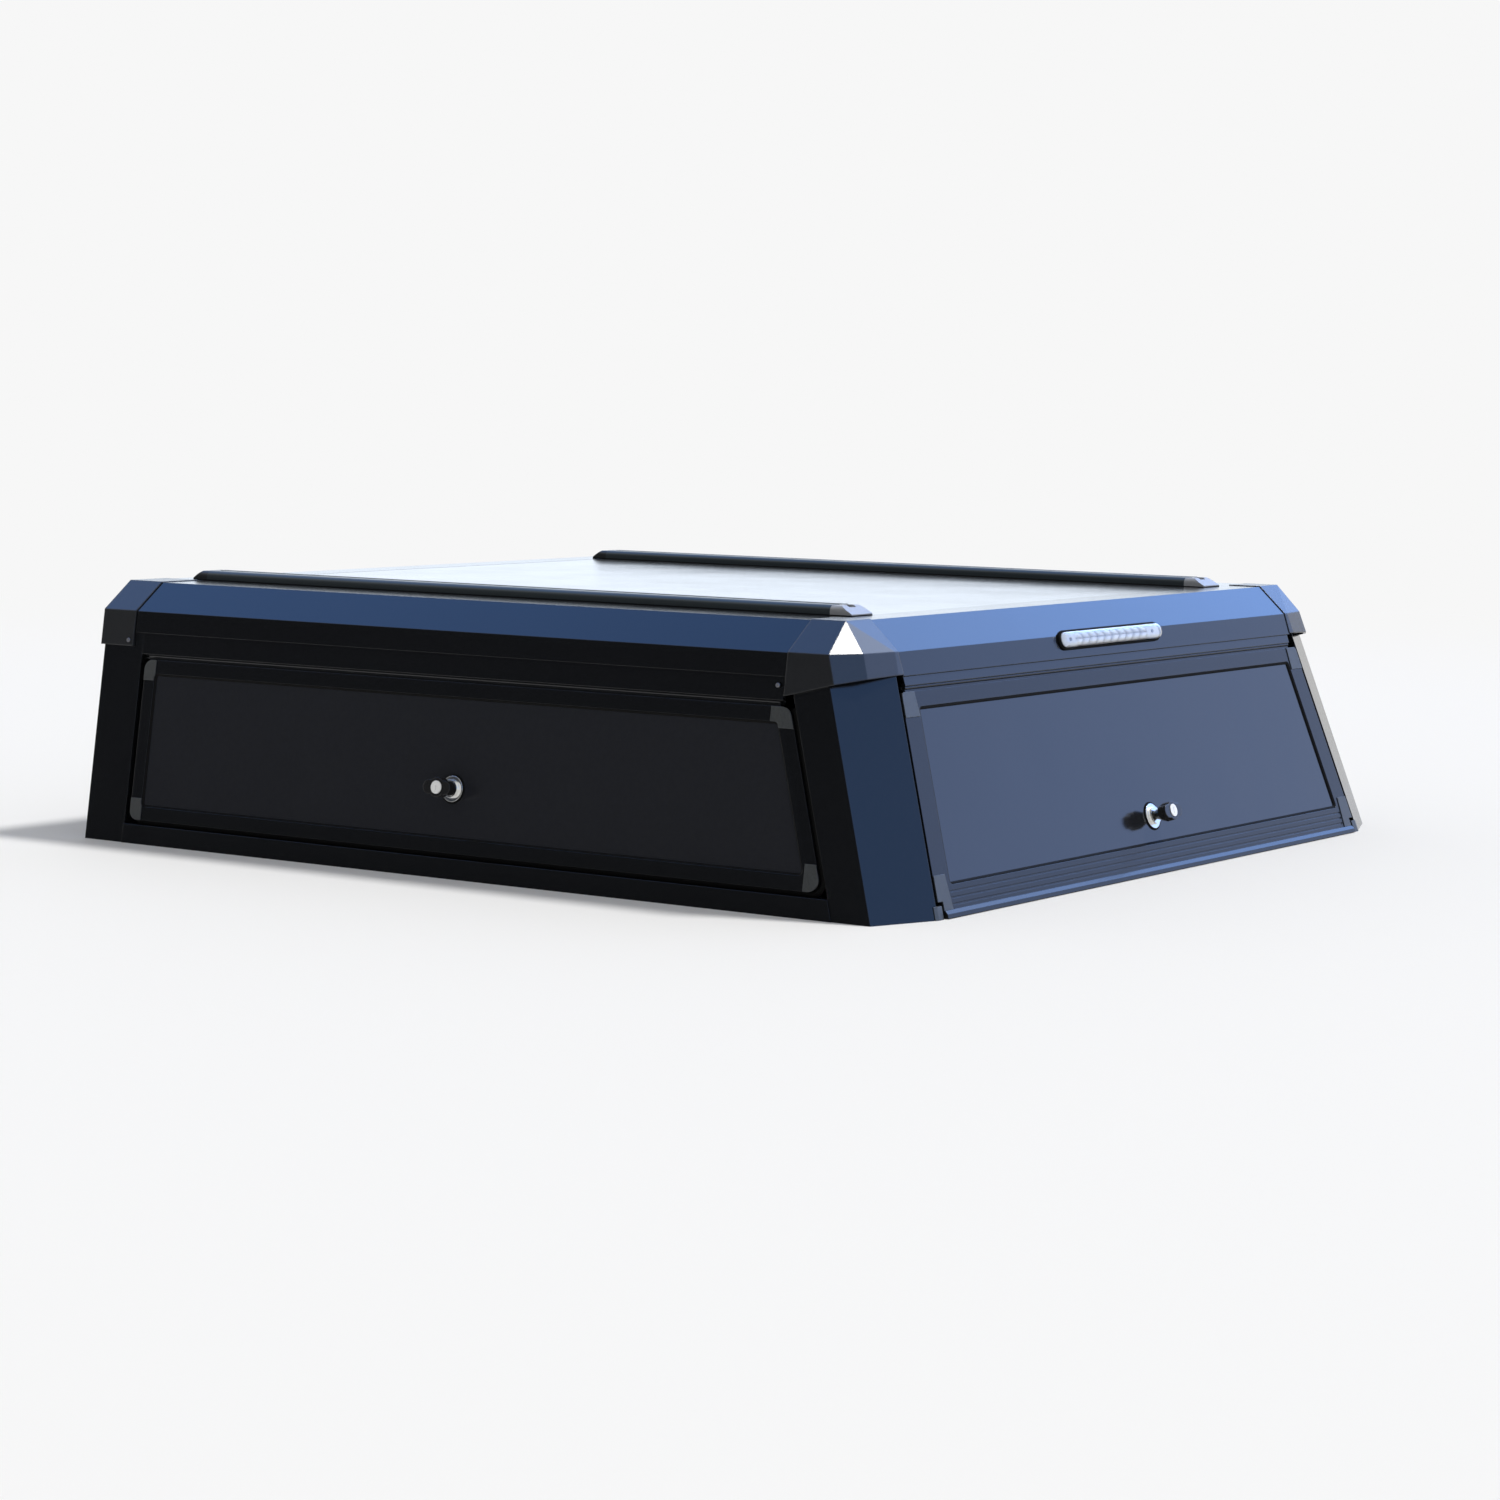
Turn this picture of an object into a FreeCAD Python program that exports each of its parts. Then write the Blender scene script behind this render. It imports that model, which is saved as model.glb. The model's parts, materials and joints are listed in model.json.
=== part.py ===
import FreeCAD, Part
import os
from math import atan, cos, sin, radians, sqrt

V = FreeCAD.Vector

# Driving sizes in mm. Heights are above the underside of the base rails;
# y runs from the rear edge (negative) to the front wall (positive).

# Outer form
half_w_base = 718.0        # side faces, half width at the underside
side_lean = 0.153          # inward mm for each mm of height
rear_y_base = -915.0       # rear face at the underside
rear_lean = 0.327          # forward mm for each mm of height
front_y = 505.5            # front face, upright
roof_z = 376.0             # flat of the roof
sheet = 3.0                # walls of folded sheet and extrusions
chamfer_h = 40.0           # height of the roof chamfer
chamfer_side = 53.6        # width of the chamfer along the sides
chamfer_rear = 43.3        # depth of the chamfer along the rear
band_h = 31.0              # upright band of the roof rails, below the chamfer
facet_x, facet_y = 43.0, 33.3    # corner facet at the shoulder, in from the side and from the rear
bend_x, bend_y = 103.6, 9.3      # the rear cap bends forward: start in from the side, and depth at the facet
panel_in = 171.6           # joint of the roof panel, in from the shoulder

# Roof caps
cap_proud = 1.2            # caps stand out of the rails by this
cap_rear_len = 203.0       # rear caps' front end, forward of the rear edge at the underside
cap_rear_in = 111.6        # inner end of the rear caps, in from the shoulder
cap_low = (56.0, 39.5, 30.0)    # lower edge below the shoulder at the front end, the corner and the inner end
cap_front_len = 62.5       # length of the front caps
cap_front_in = 129.6       # inner end of the front caps, in from the shoulder
cap_front_low = 51.0       # lower edge of the front caps below the shoulder
cap_joint = 3.0            # open joint behind the front caps

# Posts and base rails
post_rear_w, post_rear_d = 100.0, 39.0   # rear facet of the rear post at the underside
post_side_d = 98.0         # door side of the rear post, forward of the rear edge
post_in_cap = 7.0          # posts end this far below the shoulder
post_return = 32.0         # inward flange beside the doors
front_post_d = 78.5        # side leg of the front post
front_post_w = 90.0        # front leg of the front post
foot_in, foot_on, foot_h = 12.0, 5.0, 17.0   # plug at the post's foot: over the hatch gap, over the post, height
base_h = 27.5
base_flange = 55.0         # width of the base rails on the bed
base_proud = 2.0
clamp_hole_r = 4.5
clamp_in = 33.0            # clamp holes in from the base rail's outer edge
clamp_rear, clamp_front = 355.0, 265.5   # clamp holes from the rear and the front edge

# Doors and hatch
gap = 10.0                 # doors to posts
door_drop, door_bottom_z = 69.5, 34.5    # doors' top edge below the shoulder
door_frame_w = 20.0
door_depth = 20.0
door_r_out, door_r_in = 14.0, 6.0
bevel_w, bevel_t = 13.0, 4.2   # sloped outer edge of the doors' rear stile
lip_w, lip_t = 8.0, 3.0    # part of a frame that laps over its panel
panel_t = 3.0
panel_play = 0.3
hatch_gap = 5.2
hatch_drop, hatch_bottom_z = 51.5, 9.0   # hatch's top edge below the shoulder
hatch_stile_w = 37.0
hatch_top_h, hatch_bottom_h = 21.0, 33.0
hatch_lip_out = 5.0
hatch_lip_z = 1.0
rib_z = (15.0, 23.0, 31.0)    # grooves of the hatch's lower rail
bracket_t = 1.2
door_plate_sizes = ((26.0, 36.0), (22.0, 32.0), (22.0, 30.0), (26.0, 28.0))
hatch_plate_sizes = ((34.0, 48.0), (34.0, 48.0), (30.0, 34.0), (30.0, 34.0))
hatch_r = 6.0
move_gap = 5.0             # clearance of moving pieces

# Hinges: a bulb on the door turns in a fixed socket
hinge_up = 6.2             # axis above the door's top edge
hinge_n = -4.6             # axis behind the face it lies in
bulb_r = 2.95
socket_r = 3.0
socket_out_r = 4.5
neck_t = 2.2
hinge_web = 21.0           # height of the hinge plate behind the band

# Cargo rails
rail_in = 172.6            # middle of the rails, in from the shoulder
rail_w, rail_h = 50.0, 14.0
rail_from_rear, rail_from_front = 237.0, 64.5   # rails' ends from the rear and the front edge
rail_end_front, rail_end_rear = 28.0, 35.0
slot_mouth, slot_wide, slot_floor, slot_step = 10.0, 20.0, 2.5, 8.5

# High brake light and locks
lamp_len, lamp_h, lamp_out = 284.0, 22.0, 11.0
lamp_drop = 7.5            # middle of the lamp below the shoulder
side_lock_rear, side_lock_z = 737.0, 122.0   # side locks forward of the rear edge
rear_lock_z = 78.0
stem_r, bore_r = 6.0, 6.05
plate_r, hub_r = 18.0, 12.5
grip_l, grip_w, grip_disc_r = 28.0, 19.0, 13.5
grip_low, grip_top = 23.5, 36.0   # heights over the door sheet
key_r = 9.0

side_c = cos(atan(side_lean))
rear_c = cos(atan(rear_lean))
side_v = 1 / side_c        # slope length for each mm of height
rear_v = 1 / rear_c


def offset_line(points, t):
    # the same open line moved to its left by t, with mitred corners
    moved = []
    for i in range(len(points)):
        normals = []
        for a, b in ((i - 1, i), (i, i + 1)):
            if a >= 0 and b < len(points):
                dx, dy = points[b][0] - points[a][0], points[b][1] - points[a][1]
                d = sqrt(dx * dx + dy * dy)
                normals.append((-dy / d, dx / d))
        (ax, ay), (bx, by) = normals[0], normals[-1]
        k = t / (1 + ax * bx + ay * by)
        moved.append((points[i][0] + (ax + bx) * k, points[i][1] + (ay + by) * k))
    return moved


def strip(points, t):
    # closed outline of a sheet of thickness t along an open line
    return points + offset_line(points, t)[::-1]


def face(points):
    return Part.Face(Part.makePolygon(points + [points[0]]))


def along_y(section, y0, y1):
    # section points are (x, z)
    return face([V(x, y0, z) for x, z in section]).extrude(V(0, y1 - y0, 0))


def along_x(section, x0, x1):
    # section points are (y, z)
    return face([V(x0, y, z) for y, z in section]).extrude(V(x1 - x0, 0, 0))


def leaning(section, z0, z1, lean_x, lean_y):
    # section points are (x, y) at the underside, carried up along the lean
    base = face([V(x + lean_x * z0, y + lean_y * z0, z0) for x, y in section])
    return base.extrude(V(lean_x * (z1 - z0), lean_y * (z1 - z0), z1 - z0))


def box_between(x0, x1, y0, y1, z0, z1):
    return Part.makeBox(x1 - x0, y1 - y0, z1 - z0, V(x0, y0, z0))


def half_space(point, normal):
    size = 4 * (half_w_base - rear_y_base)
    box = Part.makeBox(size, size, size, V(-size / 2, -size / 2, 0))
    box.Placement = FreeCAD.Placement(point, FreeCAD.Rotation(V(0, 0, 1), normal))
    return box


def trim(shape, planes):
    # takes away what lies beyond each plane, on the side its normal points to
    for point, normal in planes:
        shape = shape.cut(half_space(point, normal))
    return shape


def mirrored(shape):
    return shape.mirror(V(0, 0, 0), V(1, 0, 0))


def flip(v):
    return V(-v.x, v.y, v.z)


def placed(shape, origin, e1, e2, e3):
    m = FreeCAD.Matrix(e1.x, e2.x, e3.x, origin.x, e1.y, e2.y, e3.y, origin.y,
                       e1.z, e2.z, e3.z, origin.z, 0, 0, 0, 1)
    out = shape.copy()
    out.Placement = FreeCAD.Placement(m).multiply(out.Placement)
    return out


# Axes of the right side face and of the rear face: along, up the slope, outward
side_e = (V(0, 1, 0), V(-side_lean * side_c, 0, side_c), V(side_c, 0, side_lean * side_c))
rear_e = (V(1, 0, 0), V(0, rear_lean * rear_c, rear_c), V(0, -rear_c, rear_lean * rear_c))
side_o = V(half_w_base, 0, 0)
rear_o = V(0, rear_y_base, 0)


def on_side(shape):
    return placed(shape, side_o, *side_e)


def on_rear(shape):
    return placed(shape, rear_o, *rear_e)


def plate(points, n0, n1):
    # flat plate in a face's own plane, from depth n0 to n1
    return face([V(a, b, n0) for a, b in points]).extrude(V(0, 0, n1 - n0))


def round_corners(solid, radius):
    # rounds the edges that run square through a plate
    edges = []
    for e in solid.Edges:
        a, b = e.Vertexes[0].Point, e.Vertexes[-1].Point
        if abs(a.x - b.x) < 1e-6 and abs(a.y - b.y) < 1e-6 and abs(a.z - b.z) > 1e-3:
            edges.append(e)
    return solid.makeFillet(radius, edges)


def inset(points, widths):
    # closed outline, counterclockwise, with each edge moved inward by its own width
    lines = []
    for i in range(len(points)):
        (x0, y0), (x1, y1) = points[i], points[(i + 1) % len(points)]
        k = sqrt((x1 - x0) ** 2 + (y1 - y0) ** 2)
        nx, ny = -(y1 - y0) / k, (x1 - x0) / k
        lines.append((nx, ny, nx * x0 + ny * y0 + widths[i]))
    out = []
    for i in range(len(points)):
        a1, b1, c1 = lines[i - 1]
        a2, b2, c2 = lines[i]
        det = a1 * b2 - a2 * b1
        out.append(((c1 * b2 - c2 * b1) / det, (a1 * c2 - a2 * c1) / det))
    return out


parts = {}


def pair(name, shape):
    parts[name + "_right"] = shape
    parts[name + "_left"] = mirrored(shape)


# Heights that follow the roof, and corners of the plan that follow the side and rear faces
n_side, n_rear = side_e[2], rear_e[2]
side_pt = side_o + n_side * sheet
rear_pt = rear_o + n_rear * sheet
shoulder_z = roof_z - chamfer_h
band_z = shoulder_z - band_h
door_top_z = shoulder_z - door_drop
hatch_top_z = shoulder_z - hatch_drop
post_top_z = shoulder_z - post_in_cap
lamp_z = shoulder_z - lamp_drop
shoulder_x = side_pt.x - side_lean * (shoulder_z - side_pt.z)
shoulder_y = rear_pt.y + rear_lean * (shoulder_z - rear_pt.z)
panel_edge_x = shoulder_x - panel_in
rail_x = shoulder_x - rail_in
cap_rear_x = shoulder_x - cap_rear_in
cap_front_x = shoulder_x - cap_front_in
cap_side_y = rear_y_base + cap_rear_len
cap_front_y = front_y - cap_front_len
crease_y = rear_y_base + post_rear_d
post_side_y = rear_y_base + post_side_d
post_rear_x = half_w_base - post_rear_w
front_post_y = front_y - front_post_d
clamp_y = (rear_y_base + clamp_rear, front_y - clamp_front)
rail_rear_y = rear_y_base + rail_from_rear
rail_front_y = front_y - rail_from_front
side_lock_y = rear_y_base + side_lock_rear

# Reach of the boxes that cut the roof form into its pieces
far_x = 1.2 * half_w_base
back_y, ahead_y = 1.1 * rear_y_base, 1.2 * front_y
over_z = 1.15 * roof_z

# Planes of the roof form on the right, each a point and an outward normal
corner_a = V(shoulder_x, shoulder_y + facet_y, shoulder_z)
corner_b = V(shoulder_x - facet_x, shoulder_y + bend_y, shoulder_z)
corner_c = V(shoulder_x - bend_x, shoulder_y, shoulder_z)
apex = V(shoulder_x - chamfer_side, shoulder_y + chamfer_rear, roof_z)
post_down = V(side_lean, -rear_lean, -1)
n_side_chamfer = V(chamfer_h, 0, chamfer_side).normalize()
n_rear_chamfer = V(0, -chamfer_h, chamfer_rear).normalize()


def outward(a, b, c):
    # unit normal of the plane through a with the directions b and c, pointing out of the body
    n = b.cross(c).normalize()
    return n if n.dot(a - V(0, 0, 0)) > 0 else n * -1


n_corner = outward(corner_a, corner_b - corner_a, post_down)
n_facet = outward(corner_a, corner_b - corner_a, apex - corner_a)
n_bend = outward(corner_c, corner_b - corner_c, post_down)
n_bend_top = outward(corner_c, corner_b - corner_c, apex - corner_c)


def roof_form(inward, low_z):
    # convex roof body with all its faces moved inward by the given amount
    body = box_between(-far_x, far_x, back_y, front_y - inward, low_z, roof_z - inward)
    planes = [(rear_pt, n_rear), (V(0, shoulder_y, shoulder_z), n_rear_chamfer)]
    for pt, n in ((side_pt, n_side), (corner_a, n_side_chamfer), (corner_a, n_corner), (corner_a, n_facet),
                  (corner_c, n_bend), (corner_c, n_bend_top)):
        planes += [(pt, n), (flip(pt), flip(n))]
    return trim(body, [(pt - n * inward, n) for pt, n in planes])


# Roof rails and caps, cut from one folded form
form_z = shoulder_z - max(cap_low) - 30
outer = roof_form(0, form_z)
inner = roof_form(sheet, form_z - 1)
shell = outer.cut(inner)
cap_shell = roof_form(-cap_proud, form_z).cut(inner)
rail_end_y = cap_front_y - cap_joint
pair("roof_rail", shell.common(box_between(panel_edge_x, far_x, cap_side_y, rail_end_y, band_z, over_z)))
parts["roof_rail_rear"] = shell.common(box_between(-cap_rear_x, cap_rear_x, back_y, cap_side_y, band_z, over_z))
parts["roof_rail_front"] = shell.common(box_between(-cap_front_x, cap_front_x, cap_front_y, ahead_y, band_z, over_z))
pair("roof_cap_front", cap_shell.common(
    box_between(cap_front_x, far_x, cap_front_y, ahead_y, shoulder_z - cap_front_low, over_z)))
low_z = [shoulder_z - drop for drop in cap_low]
low_pts = [V(half_w_base - side_lean * low_z[0], cap_side_y, low_z[0]),
           V(half_w_base - side_lean * low_z[1], crease_y + rear_lean * low_z[1], low_z[1]),
           V(cap_rear_x, rear_y_base + rear_lean * low_z[2], low_z[2])]
n_low = (low_pts[1] - low_pts[0]).cross(low_pts[2] - low_pts[0]).normalize()
n_low = n_low if n_low.z < 0 else n_low * -1
rear_cap = cap_shell.common(box_between(cap_rear_x, far_x, back_y, cap_side_y, form_z, over_z))
pair("roof_cap_rear", trim(rear_cap, [(low_pts[0], n_low)]))
parts["roof_panel"] = box_between(-panel_edge_x, panel_edge_x, cap_side_y, rail_end_y, roof_z - sheet, roof_z)

# Base rails, with holes for the clamp bolts in the bed flange
bx = half_w_base + base_proud
side_line = [(bx - base_flange, 0), (bx, 0), (bx - side_lean * base_h, base_h), (bx - side_lean * base_h - 18, base_h)]
base_side = along_y(strip(side_line, sheet), back_y, front_post_y)
base_side = trim(base_side, [(V(0, post_side_y, 0), V(0, -1, rear_lean))])
for y in clamp_y:
    base_side = base_side.cut(Part.makeCylinder(clamp_hole_r, 10, V(bx - clamp_in, y, -3)))
pair("base_rail", base_side)
front_line = [(front_y - base_flange, 0), (front_y, 0), (front_y, base_h), (front_y - 18, base_h)]
front_x = half_w_base - front_post_w
front_rail = along_x(strip(front_line, sheet), -front_x, front_x)
parts["base_rail_front"] = trim(front_rail, [(V(front_x, 0, 0), n_side), (V(-front_x, 0, 0), flip(n_side))])

# Posts
front_plan = strip([(half_w_base - post_return, front_post_y), (half_w_base, front_post_y),
                    (half_w_base, front_y - sheet), (half_w_base - front_post_w, front_y - sheet)], sheet)
pair("front_post", leaning(front_plan, 0, post_top_z, -side_lean, 0))
hatch_side = (post_rear_x, rear_y_base)
rear_plan = strip([(post_rear_x - 4, rear_y_base + 42), hatch_side, (half_w_base, crease_y),
                   (half_w_base, post_side_y), (half_w_base - post_return, post_side_y)], sheet)
rear_post = leaning(rear_plan, 0, post_top_z, -side_lean, rear_lean)
facet_d = V(half_w_base - post_rear_x, crease_y - rear_y_base, 0).normalize()
facet_n = V(facet_d.y, -facet_d.x, 0)
pair("rear_post", rear_post)

# Plug at each rear post's foot: it laps over the post's edge and closes the end of the hatch gap
edge = V(hatch_side[0], hatch_side[1], 0)
foot_pts = [edge + V(-foot_in, -bracket_t, 0), edge + V(-0.5, -bracket_t, 0), edge + facet_d * foot_on + facet_n * bracket_t,
            edge + facet_d * foot_on, edge, edge + V(-20 * 4 / 42, 20, 0), edge + V(-foot_in, 20, 0)]
pair("rear_foot", leaning([(p.x, p.y) for p in foot_pts], 0, foot_h, -side_lean, rear_lean))
notch_x = post_rear_x - foot_in - move_gap
notch_plan = [(notch_x, back_y), (half_w_base, back_y), (half_w_base, rear_y_base + 60), (notch_x, rear_y_base + 60)]
foot_notch = leaning(notch_plan, -10, foot_h + move_gap, -side_lean, rear_lean)
foot_notch = foot_notch.fuse(mirrored(foot_notch))

# Front wall: a plain sheet with a raised field, behind the posts and the front rails
wall_y = front_y - 2 * sheet
wall_x = half_w_base - sheet - 1
wall = box_between(-wall_x, wall_x, wall_y - panel_t, wall_y, base_h, band_z + 20)
field_x = wall_x - side_lean * band_z - front_post_w
field = [(-field_x - 20, 70), (field_x + 20, 70), (field_x, band_z - 35), (-field_x, band_z - 35)]
raised = face([V(x, wall_y, z) for x, z in field]).extrude(V(0, 2.0, 0))
wall = wall.fuse(raised).removeSplitter()
parts["front_panel"] = trim(wall, [(V(wall_x, 0, 0), n_side), (V(-wall_x, 0, 0), flip(n_side))])


def turned(body, axis_v):
    # from (outward, up, along) to (along, up, outward), with the axis at its own height
    m = FreeCAD.Matrix(0, 0, -1, 0, 0, 1, 0, axis_v, 1, 0, 0, hinge_n, 0, 0, 0, 1)
    out = body.mirror(V(0, 0, 0), V(0, 0, 1))
    out.Placement = FreeCAD.Placement(m).multiply(out.Placement)
    return out


def hinge_fixed(a0, a1, axis_v, top_v):
    # open socket below a plate that stands behind the roof rail's band
    length = a1 - a0
    ring = Part.makeCylinder(socket_out_r, length, V(0, 0, a0))
    nose = Part.makeBox(2 - hinge_n, socket_out_r + 1, length, V(-2, neck_t / 2 + 0.9, a0))
    web = Part.makeBox(sheet, top_v - axis_v - socket_out_r, length, V(-hinge_n - sheet, socket_out_r, a0))
    body = ring.fuse([nose, web]).removeSplitter()
    body = body.cut(Part.makeCylinder(socket_r, length, V(0, 0, a0)))
    r = 10 * socket_out_r
    mouth = [V(0, 0, a0)] + [V(r * cos(radians(t)), r * sin(radians(t)), a0) for t in (-113, -70, -25, 22.5)]
    return turned(body.cut(face(mouth).extrude(V(0, 0, length))), axis_v)


def hinge_moving(a0, a1, drop):
    # bulb and neck on top of a door's own top rail
    bulb = Part.makeCylinder(bulb_r, a1 - a0, V(0, 0, a0))
    neck = Part.makeBox(neck_t, drop, a1 - a0, V(-neck_t / 2, -drop, a0))
    return bulb.fuse(neck).removeSplitter()


def frame_ring(outline, widths, r_out, r_in):
    # frame with a lip that laps over its panel; gives the frame and the panel's outline
    ring = round_corners(plate(outline, -door_depth, 0), r_out)
    opening = round_corners(plate(inset(outline, widths), -door_depth - 1, 1), r_in)
    seat = inset(outline, [w - lip_w for w in widths])
    ring = ring.cut(opening).cut(round_corners(plate(seat, -door_depth - 1, -lip_t), r_in))
    return ring, inset(seat, [panel_play] * len(seat))


def lock_plate():
    # stepped round plate with the bore that the handle turns in
    body = Part.makeCylinder(plate_r, 2.0).fuse(Part.makeCylinder(hub_r, 7.0)).removeSplitter()
    return body.cut(Part.makeCylinder(bore_r, 40, V(0, 0, -20)))


def lock_handle():
    # stem, flared neck and oval grip around the outward axis; gives the handle and its key cylinder
    line = [(0, -6.6), (11.0, -6.6), (11.0, -3.4), (stem_r, -3.4), (stem_r, 7.4),
            (grip_disc_r, grip_low), (grip_disc_r, grip_top), (0, grip_top)]
    body = face([V(x, 0, z) for x, z in line]).revolve(V(0, 0, 0), V(0, 0, 1), 360)
    grip_h = grip_top - grip_low
    grip = Part.makeBox(grip_l, grip_w, grip_h, V(-grip_l / 2, -grip_w / 2, grip_low))
    ends = [Part.makeCylinder(grip_w / 2, grip_h, V(s * grip_l / 2, 0, grip_low)) for s in (-1, 1)]
    body = body.fuse([grip.fuse(ends).removeSplitter()]).removeSplitter()
    key = Part.makeCylinder(key_r, 5.5, V(0, 0, grip_top - 4.5))
    body = body.cut(key)
    return body, key.cut(Part.makeBox(1.6, 8.0, 3, V(-0.8, -4.0, grip_top - 0.5)))


def at(shape, a, b, n):
    out = shape.copy()
    out.translate(V(a, b, n))
    return out


def corner_plates(outline, sizes, r_out, depth):
    # one square plate on each corner of a frame, reaching down to the given depth
    ring = round_corners(plate(outline, -depth, bracket_t), r_out)
    out = []
    for i, (x, y) in enumerate(outline):
        w_h, h_h = sizes[i]
        sx = 1 if x < sum(p[0] for p in outline) / 4 else -1
        sy = 1 if y < sum(p[1] for p in outline) / 4 else -1
        x0, x1, y0, y1 = x - sx * 60, x + sx * w_h, y - sy * 60, y + sy * h_h
        pts = [(x0, y0), (x1, y0), (x1, y1), (x0, y1)]
        out.append(ring.common(plate(pts, -depth, bracket_t)))
    return out


# Side doors, built flat in the plane of the right side
door_f = front_post_y - gap
door_r = post_side_y + gap + 1
door_outline = [(door_r + rear_lean * door_bottom_z, door_bottom_z * side_v), (door_f, door_bottom_z * side_v),
                (door_f, door_top_z * side_v), (door_r + rear_lean * door_top_z, door_top_z * side_v)]
door_ring, door_sheet = frame_ring(door_outline, [door_frame_w] * 4, door_r_out, door_r_in)
rear_run = V(door_outline[3][0] - door_outline[0][0], door_outline[3][1] - door_outline[0][1], 0).normalize()
rear_out = V(-rear_run.y, rear_run.x, 0)
n_bevel = (rear_out * bevel_t + V(0, 0, bevel_w)).normalize()
bevel_pt = V(door_outline[0][0], door_outline[0][1], 0) - rear_out * bevel_w
door_ring = trim(door_ring, [(bevel_pt, n_bevel)])
side_axis_v = door_top_z * side_v + hinge_up
door_leaf = hinge_moving(cap_side_y + 8, door_f - 4, hinge_up + 4)
door_frame = door_ring.fuse(turned(door_leaf, side_axis_v)).removeSplitter()
door_panel = round_corners(plate(door_sheet, -lip_t - panel_t, -lip_t), door_r_in - panel_play)
lock_v = side_lock_z * side_v
door_panel = door_panel.cut(Part.makeCylinder(stem_r + 2, 40, V(side_lock_y, lock_v, -30)))
plates = corner_plates(door_outline, door_plate_sizes, door_r_out, bevel_t + 1)
opening = round_corners(plate(inset(door_outline, [door_frame_w] * 4), -door_depth, 5), door_r_in)
plate_top = [(bevel_pt + n_bevel * bracket_t, n_bevel)]
plates = [trim(p, plate_top).cut(opening).cut(door_ring) for p in plates]
door_corners = Part.makeCompound([s for p in plates for s in p.Solids if s.BoundBox.ZMax > bracket_t / 2])
lock, (handle, key) = lock_plate(), lock_handle()
for name, shape in (("door_frame", door_frame), ("door_panel", door_panel), ("door_corners", door_corners),
                    ("door_lock_plate", at(lock, side_lock_y, lock_v, -lip_t)),
                    ("door_handle", at(handle, side_lock_y, lock_v, -lip_t)),
                    ("door_key_cylinder", at(key, side_lock_y, lock_v, -lip_t))):
    pair(name, on_side(shape))
hinge_side = hinge_fixed(post_side_y + rear_lean * band_z + 9, front_post_y - 1, side_axis_v, (band_z + hinge_web) * side_v)
pair("hinge_rail", on_side(hinge_side))


# Hatch, built flat in the rear plane
def hatch_x(z):
    return post_rear_x - side_lean * z - hatch_gap


xb, xt = hatch_x(hatch_bottom_z), hatch_x(hatch_top_z)
hatch_low_v, hatch_top_v = hatch_bottom_z * rear_v, hatch_top_z * rear_v
hatch_outline = [(-xb, hatch_low_v), (xb, hatch_low_v), (xt, hatch_top_v), (-xt, hatch_top_v)]
hatch_widths = [hatch_bottom_h, hatch_stile_w, hatch_top_h, hatch_stile_w]
hatch_ring, hatch_sheet = frame_ring(hatch_outline, hatch_widths, hatch_r, hatch_r)
rear_axis_v = hatch_top_z * rear_v + hinge_up
leaf_x = min(hatch_x(band_z), cap_rear_x) - 4
hatch_leaf = turned(hinge_moving(-leaf_x, leaf_x, hinge_up + 4), rear_axis_v)
lip_x = hatch_x(0) - 3
lip_line = [(-12, -6), (hatch_lip_out, -6), (hatch_lip_out, 5), (hatch_lip_out - 3, hatch_low_v + 1),
            (-12, hatch_low_v + 1)]
lip = face([V(-lip_x, b, n) for n, b in lip_line]).extrude(V(2 * lip_x, 0, 0))
hatch_frame = hatch_ring.fuse([hatch_leaf, lip]).removeSplitter()
rib_x = xb - hatch_stile_w
for z in rib_z:
    hatch_frame = hatch_frame.cut(Part.makeBox(2 * rib_x, 2.4, 3, V(-rib_x, z * rear_v, -1.0)))
hatch_frame = trim(on_rear(hatch_frame), [(V(0, 0, hatch_lip_z), V(0, 0, -1))]).cut(foot_notch)
hatch_panel = round_corners(plate(hatch_sheet, -lip_t - panel_t, -lip_t), hatch_r - panel_play)
rear_lock_v = rear_lock_z * rear_v
hatch_panel = hatch_panel.cut(Part.makeCylinder(stem_r + 2, 40, V(0, rear_lock_v, -30)))
hatch_plates = corner_plates(hatch_outline, hatch_plate_sizes, hatch_r, 0)
hatch_opening = round_corners(plate(inset(hatch_outline, hatch_widths), -door_depth, 5), hatch_r)
parts["hatch_frame"] = hatch_frame
parts["hatch_panel"] = on_rear(hatch_panel)
parts["hatch_corners"] = Part.makeCompound(
    [on_rear(p.cut(hatch_opening)).cut(hatch_frame).cut(foot_notch) for p in hatch_plates])
parts["hatch_lock_plate"] = on_rear(at(lock, 0, rear_lock_v, -lip_t))
parts["hatch_handle"] = on_rear(at(handle, 0, rear_lock_v, -lip_t))
parts["hatch_key_cylinder"] = on_rear(at(key, 0, rear_lock_v, -lip_t))
parts["hinge_rail_rear"] = on_rear(hinge_fixed(3 - cap_rear_x, cap_rear_x - 3, rear_axis_v, (band_z + hinge_web) * rear_v))

# Cargo rails: rounded rail with a slot for bolt heads, and sloped end pieces
rail_tips = (rail_rear_y - rail_end_rear, rail_front_y + rail_end_front)
rail_outer = box_between(rail_x - rail_w / 2, rail_x + rail_w / 2, *rail_tips, roof_z, roof_z + rail_h)
top_edges = [e for e in rail_outer.Edges if all(abs(p.Z - roof_z - rail_h) < 1e-6 for p in e.Vertexes)
             and abs(e.Vertexes[0].X - e.Vertexes[1].X) < 1e-6]
rail_outer = rail_outer.makeFillet(9, top_edges)
slot_z = roof_z + slot_floor
slot_y = (rail_rear_y - 1, rail_front_y + 1)
slot = box_between(rail_x - slot_wide / 2, rail_x + slot_wide / 2, *slot_y, slot_z, roof_z + slot_step)
mouth = box_between(rail_x - slot_mouth / 2, rail_x + slot_mouth / 2, *slot_y, slot_z, over_z)
rail = rail_outer.common(box_between(0, far_x, rail_rear_y, rail_front_y, roof_z - 10, over_z))
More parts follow.
